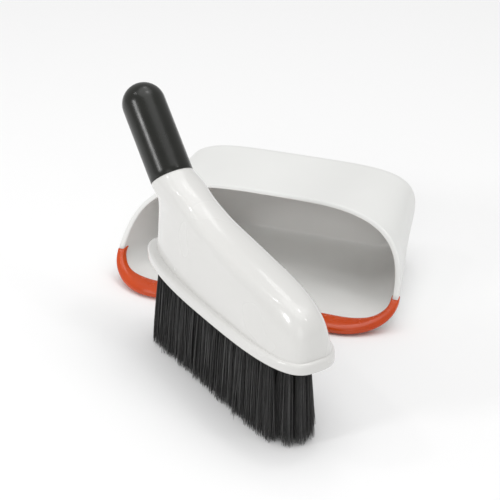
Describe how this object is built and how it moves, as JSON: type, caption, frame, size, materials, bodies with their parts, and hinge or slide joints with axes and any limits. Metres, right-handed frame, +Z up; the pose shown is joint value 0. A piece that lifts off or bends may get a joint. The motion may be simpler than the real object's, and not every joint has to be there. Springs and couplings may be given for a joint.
{
  "type": "dust pan and brush set",
  "caption": "Hooded dust pan with a soft rubber lip and round grip, and a hand brush with a domed casing, tilted round grip and dense dark bristles.",
  "frame": {"origin": "on the floor, at the middle of the pan's flat underside", "axes": "+Z up, -Y out of the pan's mouth, +Y along the pan's handle, +X across the pan"},
  "size_m": [0.2217, 0.3722, 0.1725],
  "materials": {
    "pan_plastic": "satin moulded white",
    "brush_plastic": "glossy moulded white",
    "core_plastic": "plain moulded",
    "lip_rubber": "soft satin orange",
    "grip_rubber": "satin black",
    "bristle": "fine dark strands",
    "steel": "plain wire"
  },
  "bodies": {
    "pan": {"pan_shell": "pan_plastic", "pan_lip": "lip_rubber", "pan_grip": "grip_rubber"},
    "brush": {"brush_shell": "brush_plastic", "brush_core": "core_plastic", "brush_grip": "grip_rubber", "brush_block": "brush_plastic", "block_screws": "steel", "tuft_anchors": "steel", "tuft_row_1": "bristle", "tuft_row_2": "bristle", "tuft_row_3": "bristle", "tuft_row_4": "bristle", "tuft_row_5": "bristle"}
  },
  "joints": [
    {"name": "brush_lift", "type": "slide", "parent": "pan", "child": "brush", "axis": [0, 0, 1], "range_m": [0, 0.25]}
  ]
}
